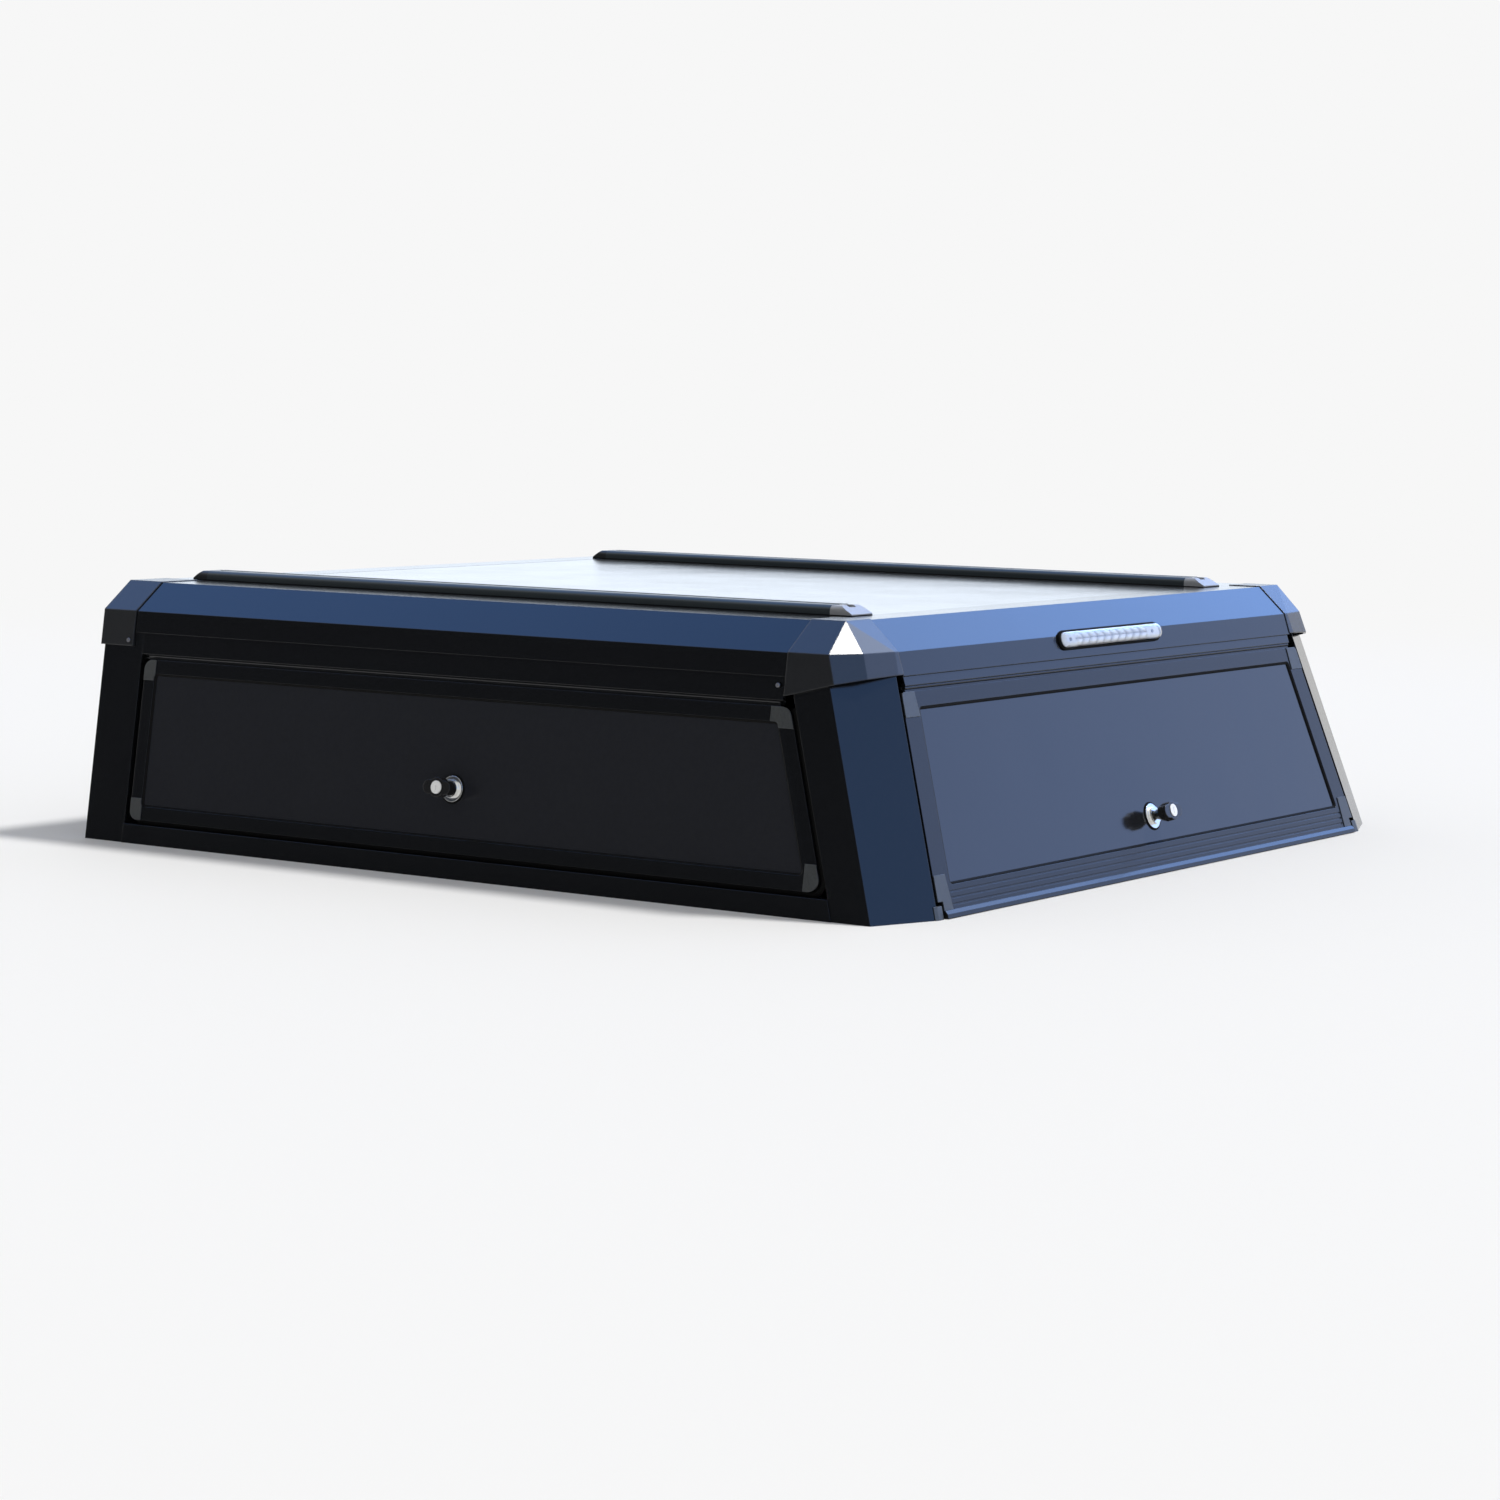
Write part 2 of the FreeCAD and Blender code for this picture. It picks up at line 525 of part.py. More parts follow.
rail = rail.cut(slot.fuse(mouth)).removeSplitter()
pair("cargo_rail", rail)


def end_piece(y, way, length, hole):
    # the rail's own outline, sloped down to its tip, with a hole that shows the slot's end
    tip = y + way * length
    block = rail_outer.common(box_between(0, far_x, min(y, tip), max(y, tip), roof_z - 10, over_z))
    top = y + way * length * 0.45
    slope = V(0, way * (rail_h - 3), abs(tip - top)).normalize()
    block = trim(block, [(V(0, top, roof_z + rail_h - 0.6), slope), (V(0, 0, roof_z + rail_h - 0.6), V(0, 0, 1))])
    if hole:
        block = block.cut(box_between(rail_x - 8, rail_x + 8, y - 20, y - 6, roof_z + 5, roof_z + 40))
    return block


ends = [end_piece(rail_front_y, 1, rail_end_front, False), end_piece(rail_rear_y, -1, rail_end_rear, True)]
parts["cargo_rail_ends"] = Part.makeCompound(ends + [mirrored(e) for e in ends])

# High brake light across the rear band


def oblong(length, height, n0, n1):
    half = (length - height) / 2
    body = Part.makeBox(2 * half, height, n1 - n0, V(-half, lamp_z * rear_v - height / 2, n0))
    ends = [Part.makeCylinder(height / 2, n1 - n0, V(s * half, lamp_z * rear_v, n0)) for s in (-1, 1)]
    return body.fuse(ends).removeSplitter()


base_n = sheet + 2.5
parts["brake_light_housing"] = on_rear(oblong(lamp_len + 4, lamp_h + 4, -14, base_n)).cut(outer)
lens = oblong(lamp_len, lamp_h, base_n, sheet + lamp_out)
lens = lens.makeChamfer(2.5, [e for e in lens.Edges if e.BoundBox.ZMin > sheet + lamp_out - 0.01])
parts["brake_light_lens"] = on_rear(lens)

# The middle of the overall box goes to the origin
boxes = [p.BoundBox for p in parts.values()]
shift = -(min(b.YMin for b in boxes) + max(b.YMax for b in boxes)) / 2
os.makedirs("parts", exist_ok=True)
for name in sorted(parts):
    shape = parts[name].copy()
    shape.translate(V(0, shift, 0))
    solids = shape.Solids
    if not shape.isValid() or not solids:
        print("not valid:", name)
    out = solids[0] if len(solids) == 1 else Part.makeCompound(solids)
    out.exportStep("parts/" + name + ".step")
    print("%-24s solids %d volume %.0f" % (name, len(solids), sum(s.Volume for s in solids)))


# Places that the record needs, in metres
def report(label, point):
    print("%-20s %.5f %.5f %.5f" % (label, point.x / 1000, (point.y + shift) / 1000, point.z / 1000))


def on_face(origin, axes, a, b, n):
    return origin + axes[0] * a + axes[1] * b + axes[2] * n


print("shift", round(shift, 3))
report("side hinge axis", on_face(side_o, side_e, 0, side_axis_v, hinge_n))
report("rear hinge axis", on_face(rear_o, rear_e, 0, rear_axis_v, hinge_n))
report("side lock", on_face(side_o, side_e, side_lock_y, lock_v, 0))
report("rear lock", on_face(rear_o, rear_e, 0, rear_lock_v, 0))
report("clamp hole front", V(bx - clamp_in, clamp_y[1], 0))
report("clamp hole rear", V(bx - clamp_in, clamp_y[0], 0))
report("cargo slot", V(rail_x, (rail_rear_y + rail_front_y) / 2, roof_z))
report("lamp", on_face(rear_o, rear_e, 0, lamp_z * rear_v, sheet))
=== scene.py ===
import json
from math import cos, radians, sin

import bmesh
import bpy
import numpy as np
from mathutils import Matrix, Vector


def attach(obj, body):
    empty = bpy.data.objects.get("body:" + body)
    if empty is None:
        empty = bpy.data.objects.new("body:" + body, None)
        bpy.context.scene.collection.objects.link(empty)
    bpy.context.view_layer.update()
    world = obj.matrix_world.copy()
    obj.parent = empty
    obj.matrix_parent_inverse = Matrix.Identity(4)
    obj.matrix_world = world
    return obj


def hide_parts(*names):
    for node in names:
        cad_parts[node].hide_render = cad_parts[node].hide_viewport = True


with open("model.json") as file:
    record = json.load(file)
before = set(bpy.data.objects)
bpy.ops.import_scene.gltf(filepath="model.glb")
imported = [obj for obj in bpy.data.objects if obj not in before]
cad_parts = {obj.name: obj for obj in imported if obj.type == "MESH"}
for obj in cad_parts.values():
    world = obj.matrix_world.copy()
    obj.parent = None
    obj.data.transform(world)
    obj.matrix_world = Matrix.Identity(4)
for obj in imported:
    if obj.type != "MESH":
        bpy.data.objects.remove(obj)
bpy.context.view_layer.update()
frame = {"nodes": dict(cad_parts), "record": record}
nodes = frame["nodes"]
scene = bpy.context.scene


# Small helpers for the finishes

def newMaterial(name):
    mat = bpy.data.materials.new(name)
    mat.use_nodes = True
    tree = mat.node_tree
    return mat, tree, tree.nodes["Principled BSDF"]


def addNode(tree, kind, settings=None, **values):
    # a node with its settings, and its inputs set by name, or as i0, i1 by number
    node = tree.nodes.new(kind)
    for key, value in (settings or {}).items():
        setattr(node, key, value)
    for key, value in values.items():
        socket = node.inputs[int(key[1:])] if key[1:].isdigit() else node.inputs[key]
        if isinstance(value, bpy.types.NodeSocket):
            tree.links.new(value, socket)
        else:
            socket.default_value = value
    return node


def doMath(tree, operation, first, second):
    return addNode(tree, "ShaderNodeMath", {"operation": operation}, i0=first, i1=second).outputs[0]


def grain(tree, scale, detail=2.0, roughness=0.5):
    # noise on the object's own coordinates, in metres
    place = addNode(tree, "ShaderNodeTexCoord")
    noise = addNode(tree, "ShaderNodeTexNoise", Vector=place.outputs["Object"],
                    Scale=scale, Detail=detail, Roughness=roughness)
    return noise.outputs["Fac"]


def between(tree, value, low, high):
    # a 0 to 1 value carried to the range low to high
    node = addNode(tree, "ShaderNodeMapRange", Value=value)
    node.inputs["To Min"].default_value = low
    node.inputs["To Max"].default_value = high
    return node.outputs["Result"]


def rise(tree, value, start, end):
    # 0 before start, 1 after end, smooth between
    node = addNode(tree, "ShaderNodeMapRange", {"interpolation_type": "SMOOTHSTEP"}, Value=value)
    node.inputs["From Min"].default_value = start
    node.inputs["From Max"].default_value = end
    return node.outputs["Result"]


def mixColour(tree, factor, first, second):
    node = tree.nodes.new("ShaderNodeMix")
    node.data_type = "RGBA"
    for socket, value in ((node.inputs[0], factor), (node.inputs[6], first), (node.inputs[7], second)):
        if isinstance(value, bpy.types.NodeSocket):
            tree.links.new(value, socket)
        else:
            socket.default_value = value if isinstance(value, float) else (*value, 1.0)
    return node.outputs[2]


def softEdge(tree, radius):
    # the normal of edges rounded by the radius
    return addNode(tree, "ShaderNodeBevel", {"samples": 4}, Radius=radius).outputs["Normal"]


def bumped(tree, height, strength, distance, normal):
    return addNode(tree, "ShaderNodeBump", Strength=strength, Distance=distance,
                   Height=height, Normal=normal).outputs["Normal"]


# Powder coat on the extrusions and sheets: what all coats share, then each coat

coatShared = {"cloudScale": 9.0, "dustScale": 140.0, "dustMost": 0.35, "waveScale": 5.0, "waveHeight": 0.02,
              "grainHeight": 0.0004}

coatLook = {
    "black_coat": {"colour": (0.004, 0.0045, 0.0055), "dust": (0.014, 0.015, 0.017), "rough": (0.13, 0.18),
                   "shine": 0.45, "grainScale": 900.0, "grainDepth": 0.10, "edge": 0.0010, "wave": 0.02},
    "frame_coat": {"colour": (0.006, 0.0065, 0.008), "dust": (0.018, 0.019, 0.021), "rough": (0.22, 0.28),
                   "shine": 0.32, "grainScale": 900.0, "grainDepth": 0.10, "edge": 0.0010, "wave": 0.02},
    "panel_coat": {"colour": (0.015, 0.016, 0.020), "dust": (0.030, 0.031, 0.036), "rough": (0.12, 0.18),
                   "shine": 0.5, "grainScale": 1100.0, "grainDepth": 0.05, "edge": 0.0006, "wave": 0.05},
    "hatch_coat": {"colour": (0.010, 0.011, 0.014), "dust": (0.020, 0.021, 0.023), "rough": (0.08, 0.13),
                   "shine": 0.5, "grainScale": 1100.0, "grainDepth": 0.05, "edge": 0.0006, "wave": 0.05},
    "roof_coat": {"colour": (0.012, 0.013, 0.014), "dust": (0.040, 0.041, 0.042), "rough": (0.10, 0.17),
                  "shine": 0.6, "grainScale": 1100.0, "grainDepth": 0.05, "edge": 0.0006, "wave": 0.06},
    "cap_coat": {"colour": (0.008, 0.009, 0.011), "dust": (0.020, 0.021, 0.023), "rough": (0.50, 0.56),
                 "shine": 0.12, "grainScale": 900.0, "grainDepth": 0.08, "edge": 0.0025, "wave": 0.02,
                 "gloss": 0.75, "glossRough": 0.24},
    "rail_coat": {"colour": (0.030, 0.042, 0.048), "dust": (0.052, 0.064, 0.070), "rough": (0.30, 0.38),
                  "shine": 0.5, "grainScale": 700.0, "grainDepth": 0.10, "edge": 0.0008, "wave": 0.01},
}


def coatFinish(name, look):
    # dusty black with clouded gloss, a faint sag in the sheet and a fine grain
    mat, tree, shader = newMaterial(name)
    cloud = grain(tree, coatShared["cloudScale"], 4.0, 0.6)
    dusty = between(tree, grain(tree, coatShared["dustScale"], 6.0, 0.7), 0.0, coatShared["dustMost"])
    tree.links.new(mixColour(tree, dusty, look["colour"], look["dust"]), shader.inputs["Base Color"])
    tree.links.new(between(tree, cloud, *look["rough"]), shader.inputs["Roughness"])
    shader.inputs["Specular IOR Level"].default_value = look["shine"]
    shader.inputs["Coat Weight"].default_value = look.get("gloss", 0.0)
    shader.inputs["Coat Roughness"].default_value = look.get("glossRough", 0.03)
    sag = bumped(tree, grain(tree, coatShared["waveScale"], 1.0, 0.4), look["wave"], coatShared["waveHeight"],
                 softEdge(tree, look["edge"]))
    fine = bumped(tree, grain(tree, look["grainScale"], 3.0, 0.55), look["grainDepth"], coatShared["grainHeight"], sag)
    tree.links.new(fine, shader.inputs["Normal"])
    tree.links.new(fine, shader.inputs["Coat Normal"])
    return mat


# Plastic and rubber

plasticShared = {"speckShare": 0.6, "roughScale": 30.0, "grainHeight": 0.0004}

plasticLook = {
    "bracket_plastic": {"colour": (0.012, 0.014, 0.015), "speck": (0.050, 0.056, 0.058), "rough": (0.34, 0.46),
                        "shine": 0.6, "grainScale": 650.0, "grainDepth": 0.7, "edge": 0.0010},
    "rubber_black": {"colour": (0.006, 0.006, 0.006), "speck": (0.010, 0.010, 0.010), "rough": (0.6, 0.75),
                     "shine": 0.06, "grainScale": 1200.0, "grainDepth": 0.3, "edge": 0.0006},
    "lock_black": {"colour": (0.006, 0.006, 0.007), "speck": (0.012, 0.012, 0.013), "rough": (0.20, 0.28),
                   "shine": 0.5, "grainScale": 1500.0, "grainDepth": 0.08, "edge": 0.0015},
}


def plasticFinish(name, look):
    mat, tree, shader = newMaterial(name)
    speck = grain(tree, look["grainScale"] * plasticShared["speckShare"], 3.0, 0.6)
    tree.links.new(mixColour(tree, speck, look["colour"], look["speck"]), shader.inputs["Base Color"])
    rough = between(tree, grain(tree, plasticShared["roughScale"], 3.0), *look["rough"])
    tree.links.new(rough, shader.inputs["Roughness"])
    shader.inputs["Specular IOR Level"].default_value = look["shine"]
    fine = bumped(tree, grain(tree, look["grainScale"], 4.0, 0.6), look["grainDepth"], plasticShared["grainHeight"],
                  softEdge(tree, look["edge"]))
    tree.links.new(fine, shader.inputs["Normal"])
    return mat


# The cargo rails' end pieces: cast grey at the rear; at the front the same pieces are painted dark, as painted shade
# for their side that faces away from the light

# front is painted shade: the dark colour put on the front end pieces
endLook = {"rear": (0.44, 0.45, 0.47), "speck": (0.26, 0.27, 0.29), "front": (0.016, 0.018, 0.021), "rough": (0.30, 0.42),
           "speckScale": 700.0, "roughScale": 300.0, "grainScale": 1300.0, "grainDepth": 0.2, "grainHeight": 0.0004,
           "edge": 0.0012}


def endFinish(look):
    mat, tree, shader = newMaterial("end_grey")
    cast = mixColour(tree, grain(tree, look["speckScale"], 4.0), look["rear"], look["speck"])
    place = addNode(tree, "ShaderNodeTexCoord")
    axes = addNode(tree, "ShaderNodeSeparateXYZ", Vector=place.outputs["Object"])
    # painted shade: the pieces ahead of the middle (y above 0) take the dark front colour
    paintedShadeFront = doMath(tree, "GREATER_THAN", axes.outputs["Y"], 0.0)
    tree.links.new(mixColour(tree, paintedShadeFront, cast, look["front"]), shader.inputs["Base Color"])
    tree.links.new(between(tree, grain(tree, look["roughScale"], 4.0), *look["rough"]), shader.inputs["Roughness"])
    fine = bumped(tree, grain(tree, look["grainScale"], 4.0, 0.6), look["grainDepth"], look["grainHeight"],
                  softEdge(tree, look["edge"]))
    tree.links.new(fine, shader.inputs["Normal"])
    return mat


# Plated metal of the locks and screws, and the keys, whose faces are painted near white as a painted reflection

platedShared = {"toneScale": 300.0, "roughScale": 500.0}

platedLook = {
    "lock_metal": {"light": (0.86, 0.86, 0.84), "dull": (0.72, 0.72, 0.71), "rough": (0.10, 0.18),
                   "metal": 1.0, "edge": 0.0012},
    # key_metal is a painted reflection: near white with little metal, so that the plated key faces show white
    "key_metal": {"light": (0.95, 0.95, 0.94), "dull": (0.86, 0.86, 0.85), "rough": (0.30, 0.42),
                  "metal": 0.15, "edge": 0.0005},
    "screw_steel": {"light": (0.20, 0.20, 0.21), "dull": (0.12, 0.12, 0.13), "rough": (0.28, 0.40),
                    "metal": 1.0, "edge": 0.0003},
}


def platedFinish(name, look):
    mat, tree, shader = newMaterial(name)
    shader.inputs["Metallic"].default_value = look["metal"]
    tone = mixColour(tree, grain(tree, platedShared["toneScale"], 4.0), look["light"], look["dull"])
    rough = between(tree, grain(tree, platedShared["roughScale"], 5.0), *look["rough"])
    tree.links.new(tone, shader.inputs["Base Color"])
    tree.links.new(rough, shader.inputs["Roughness"])
    tree.links.new(softEdge(tree, look["edge"]), shader.inputs["Normal"])
    return mat


# The lamp's clear cover and its bright moulded reflector, with painted shade in the reflector's valleys

lensLook = {"colour": (0.97, 0.98, 0.99), "clear": 0.9, "ior": 1.35, "rough": (0.0, 0.02), "roughScale": 400.0}


def lensFinish(look):
    mat, tree, shader = newMaterial("lens_clear")
    shader.inputs["Base Color"].default_value = (*look["colour"], 1)
    shader.inputs["Transmission Weight"].default_value = look["clear"]
    shader.inputs["IOR"].default_value = look["ior"]
    tree.links.new(between(tree, grain(tree, look["roughScale"]), *look["rough"]), shader.inputs["Roughness"])
    return mat


# the valley colour is painted shade for the hollows between the reflector's leaves
reflectorLook = {"ridge": (0.98, 0.98, 0.95), "paintedValleyShade": (0.13, 0.13, 0.14), "rough": (0.22, 0.34),
                 "roughScale": 300.0, "shine": 0.12}


def reflectorFinish(look):
    # the piece's own height map, stored on its points, greys the valleys: painted shade in the hollows between the
    # leaves
    mat, tree, shader = newMaterial("reflector_white")
    height = addNode(tree, "ShaderNodeAttribute", {"attribute_name": "ridge"})
    tree.links.new(mixColour(tree, height.outputs["Fac"], look["paintedValleyShade"], look["ridge"]), shader.inputs["Base Color"])
    tree.links.new(between(tree, grain(tree, look["roughScale"], 3.0), *look["rough"]), shader.inputs["Roughness"])
    shader.inputs["Specular IOR Level"].default_value = look["shine"]
    return mat


finishes = {"end_grey": endFinish(endLook), "lens_clear": lensFinish(lensLook),
            "reflector_white": reflectorFinish(reflectorLook)}
for looks, makeFinish in ((coatLook, coatFinish), (plasticLook, plasticFinish), (platedLook, platedFinish)):
    finishes.update({name: makeFinish(name, look) for name, look in looks.items()})
for part in frame["record"]["subparts"]:
    nodes[part["node"]].material_slots[0].material = finishes[part["material_slot"]]
print("finishes on the CAD pieces")


# Surfaces worked out with numpy, in metres in the row frame


def outward(points, faces):
    # the sum of a . (b x c) over each face's fan is six times the volume; where it is negative the faces are turned round
    total = 0.0
    for count in {len(f) for f in faces}:
        corners = points[np.array([f for f in faces if len(f) == count])]
        a, b, c = corners[:, :1], corners[:, 1:-1], corners[:, 2:]
        total += (a * np.cross(b, c)).sum()
    return faces if total > 0 else [f[::-1] for f in faces]


def makePiece(name, points, faces, finish, body, smooth=True):
    points = np.asarray(points, float)
    mesh = bpy.data.meshes.new(name)
    mesh.from_pydata(points.tolist(), [], outward(points - points.mean(0), faces))
    mesh.polygons.foreach_set("use_smooth", np.full(len(mesh.polygons), smooth))
    mesh.materials.append(finishes[finish])
    mesh.update()
    piece = bpy.data.objects.new(name, mesh)
    scene.collection.objects.link(piece)
    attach(piece, body)
    return piece


def quads(rows, columns, closedRows, closedColumns):
    # faces of a grid of rows x columns points; a closed direction joins its last line to its first
    i = np.arange(rows if closedRows else rows - 1)[:, None]
    j = np.arange(columns if closedColumns else columns - 1)[None, :]
    a, b = (i * columns + j), (i * columns + (j + 1) % columns)
    c, d = ((i + 1) % rows) * columns + (j + 1) % columns, ((i + 1) % rows) * columns + j
    return np.stack([a, b, c, d], -1).reshape(-1, 4).tolist()


def fullTurn(steps):
    return np.linspace(0, 2 * np.pi, steps, endpoint=False)[:, None]


yShift = 0.209178     # the row frame's y less the y that the part was drawn with
lean = {"side": 0.153, "rear": 0.327, "halfWidth": 0.718, "rearEdge": yShift - 0.915}
rearSlope = 1.0521     # length up the rear face for each unit of height


def onFace(which, a, b, n):
    # point = origin + a along + b up the slope + n outward, for the faces "left", "right" and "rear"
    a, b, n = np.broadcast_arrays(np.asarray(a, float), np.asarray(b, float), np.asarray(n, float))
    if which == "rear":
        c = 1 / np.sqrt(1 + lean["rear"] ** 2)
        return np.stack([a, lean["rearEdge"] + lean["rear"] * c * b - c * n, c * b + lean["rear"] * c * n], -1)
    c = 1 / np.sqrt(1 + lean["side"] ** 2)
    x = lean["halfWidth"] - lean["side"] * c * b + c * n
    return np.stack([x if which == "right" else -x, a + yShift, c * b + lean["side"] * c * n], -1)


def roundedLoop(corners, radius, steps=8):
    # closed outline with arcs at its corners: points and outward normals; corners run counterclockwise
    corners = np.asarray(corners, float)
    before = corners - np.roll(corners, 1, 0)
    after = np.roll(corners, -1, 0) - corners
    before /= np.linalg.norm(before, axis=1)[:, None]
    after /= np.linalg.norm(after, axis=1)[:, None]
    outA, outB = np.stack([before[:, 1], -before[:, 0]], 1), np.stack([after[:, 1], -after[:, 0]], 1)
    half = np.arccos(np.clip((outA * outB).sum(1), -1, 1)) / 2
    middle = corners - (outA + outB) / (2 * np.cos(half)[:, None] ** 2) * radius
    start = np.arctan2(outA[:, 1], outA[:, 0])[:, None]
    angle = start + 2 * half[:, None] * np.linspace(0, 1, steps)[None, :]
    normal = np.stack([np.cos(angle), np.sin(angle)], -1)
    return (middle[:, None, :] + radius * normal).reshape(-1, 2), normal.reshape(-1, 2)


def oblongLoop(half, radius, centre, steps=20):
    # outline of two half circles joined by straight runs: points and outward normals
    angle = np.linspace(-np.pi / 2, np.pi / 2, steps)
    right = np.stack([np.cos(angle), np.sin(angle)], 1)
    normals = np.concatenate([right, -right])
    shift = np.repeat([[half, 0.0], [-half, 0.0]], steps, 0)
    return normals * radius + shift + np.array([[0.0, centre]]), normals


def insetCorners(corners, widths):
    # each edge i, from corner i to the next, moved inward by widths[i]; new corners where they meet
    corners = np.asarray(corners, float)
    along = np.roll(corners, -1, 0) - corners
    normal = np.stack([-along[:, 1], along[:, 0]], 1) / np.linalg.norm(along, axis=1)[:, None]
    level = (normal * corners).sum(1) + np.asarray(widths, float)
    n0, c0 = np.roll(normal, 1, 0), np.roll(level, 1)
    det = n0[:, 0] * normal[:, 1] - normal[:, 0] * n0[:, 1]
    x, y = (c0 * normal[:, 1] - level * n0[:, 1]) / det, (n0[:, 0] * level - normal[:, 0] * c0) / det
    return np.stack([x, y], 1)


def carryRound(name, which, loop, section, finish, body, closed=True):
    # point(i, j) = loop[i] + normal[i] * section[j].out, at height section[j].n: a section carried round a loop
    points, normals = loop
    section = np.asarray(section, float)
    flat = points[:, None, :] + normals[:, None, :] * section[None, :, :1]
    grid = onFace(which, flat[..., 0], flat[..., 1], section[None, :, 1])
    rows, columns = grid.shape[:2]
    faces = quads(rows, columns, closed, True)
    if not closed:
        faces += [list(range(columns))[::-1], list(range((rows - 1) * columns, rows * columns))]
    return makePiece(name, grid.reshape(-1, 3), faces, finish, body)


def spin(name, which, centre, profile, finish, body, steps=48):
    # point(t, j) = centre + (cos t, sin t) * r[j] * hexSocket(t, j), at height n[j]; r = 0 at both ends closes the poles
    profile = np.asarray(profile, float)
    t = fullTurn(steps)
    r = profile[None, :, 0] * hexSocket(t, np.arange(len(profile))[None, :])
    a, b = centre[0] + r * np.cos(t), centre[1] + r * np.sin(t)
    grid = onFace(which, a[:, 1:-1], b[:, 1:-1], profile[None, 1:-1, 1])
    poles = onFace(which, centre[0], centre[1], profile[[0, -1], 1])
    count = grid.shape[1]
    base = steps * count
    k = np.arange(steps)
    after = (k + 1) % steps
    low = np.stack([np.full(steps, base), k * count, after * count], 1)
    high = np.stack([np.full(steps, base + 1), (after + 1) * count - 1, (k + 1) * count - 1], 1)
    faces = quads(steps, count, True, False) + low.tolist() + high.tolist()
    return makePiece(name, np.concatenate([grid.reshape(-1, 3), poles]), faces, finish, body)


def weld(piece, reach=1e-6):
    # joins the points that a closed form brings to the same place
    form = bmesh.new()
    form.from_mesh(piece.data)
    bmesh.ops.remove_doubles(form, verts=form.verts, dist=reach)
    form.to_mesh(piece.data)
    form.free()


# Rubber beads between the panels and their frames, and fins in the gaps round the doors.
# The fin runs from the rear edge's upper end down, along the bottom and up the front.

doorLook = {"corners": [(-0.79472, 0.0349), (0.417, 0.0349), (0.417, 0.2696), (-0.71885, 0.2696)], "frame": 0.020,
            "panelRadius": 0.006, "doorRadius": 0.014, "finRun": (-4, 20),
            "bead": [(0.0004, -0.0031), (0.0004, -0.0012), (-0.0008, -0.0010), (-0.0020, -0.0016),
                     (-0.0028, -0.0026), (-0.0030, -0.0031)],
            "fin": [(-0.0004, -0.0095), (0.0026, -0.0100), (0.0052, -0.0114), (0.0068, -0.0132),
                    (0.0064, -0.0138), (0.0046, -0.0124), (0.0022, -0.0113), (-0.0004, -0.0110)]}

for side in ("left", "right"):
    opening = insetCorners(doorLook["corners"], [doorLook["frame"]] * 4)
    carryRound("panel_bead_" + side, side, roundedLoop(opening, doorLook["panelRadius"]), doorLook["bead"],
               "rubber_black", side + "_door")
    points, normals = roundedLoop(doorLook["corners"], doorLook["doorRadius"])
    keep = np.arange(*doorLook["finRun"]) % len(points)
    carryRound("door_fin_" + side, side, (points[keep], normals[keep]), doorLook["fin"],
               "rubber_black", side + "_door", closed=False)

hatchLook = {"low": 0.009, "high": 0.2845, "xLow": 0.6114, "xHigh": 0.5693, "widths": [0.033, 0.037, 0.021, 0.037],
             "panelRadius": 0.006,
             "bead": [(0.0004, -0.0031), (0.0004, -0.0008), (-0.0010, -0.0006), (-0.0026, -0.0012),
                      (-0.0036, -0.0024), (-0.0038, -0.0031)]}
hatchEdges = ((hatchLook["low"] * rearSlope, hatchLook["xLow"]), (hatchLook["high"] * rearSlope, hatchLook["xHigh"]))
(low, xLow), (high, xHigh) = hatchEdges
hatchOpening = insetCorners([(-xLow, low), (xLow, low), (xHigh, high), (-xHigh, high)], hatchLook["widths"])
carryRound("hatch_bead", "rear", roundedLoop(hatchOpening, hatchLook["panelRadius"]), hatchLook["bead"],
           "rubber_black", "rear_hatch")

# Gasket rings under the lock plates, and the cams on the handles' inner ends

lockLook = {"side": (-0.178, 0.12342), "rear": (0.0, 0.08206), "ringSteps": 56,
            "ring": [(0.0178, -0.0031), (0.0205, -0.0031), (0.0207, -0.0024), (0.0200, -0.0014),
                     (0.0188, -0.0011), (0.0178, -0.0016)],
            "camDown": 0.034, "camUp": 0.004, "camRadius": 0.008, "camTop": -0.0098, "camBottom": -0.0122,
            "camChamfer": 0.0004, "camShares": (0.0, 0.6, 0.95, 1.0), "camSteps": 48}


def lockGasket(name, which, centre, look, body):
    # point(t, j) = centre + (cos t, sin t) * r[j] at height n[j], closed both ways
    section = np.asarray(look["ring"], float)
    t, r = fullTurn(look["ringSteps"]), section[None, :, 0]
    grid = onFace(which, centre[0] + r * np.cos(t), centre[1] + r * np.sin(t), section[None, :, 1])
    return makePiece(name, grid.reshape(-1, 3), quads(*grid.shape[:2], True, True), "rubber_black", body)


def latchCam(name, which, centre, look, body):
    # strap along the slope: an oblong outline with a chamfered edge, its two faces closed by rings that shrink to a line
    t = fullTurn(look["camSteps"])
    share = np.array(look["camShares"] + look["camShares"][::-1])
    height = np.repeat([look["camTop"], look["camBottom"]], len(look["camShares"]))
    edge = len(look["camShares"])
    height[edge - 1:edge + 1] += (-look["camChamfer"], look["camChamfer"])
    r = look["camRadius"] * share[None, :]
    end = np.where(np.sin(t) > 0, look["camUp"], -look["camDown"])
    grid = onFace(which, centre[0] + r * np.cos(t), centre[1] + r * np.sin(t) + end, height[None, :])
    faces = quads(*grid.shape[:2], True, False)
    piece = makePiece(name, grid.reshape(-1, 3), faces, "screw_steel", body, False)
    weld(piece)
    return piece


for which, body, handle in (("left", "left_door", "left_handle"), ("right", "right_door", "right_handle"),
                            ("rear", "rear_hatch", "hatch_handle")):
    centre = lockLook["rear" if which == "rear" else "side"]
    lockGasket("lock_gasket_" + which, which, centre, lockLook, body)
    latchCam("latch_cam_" + which, which, centre, lockLook, handle)

# Screws that hold the caps

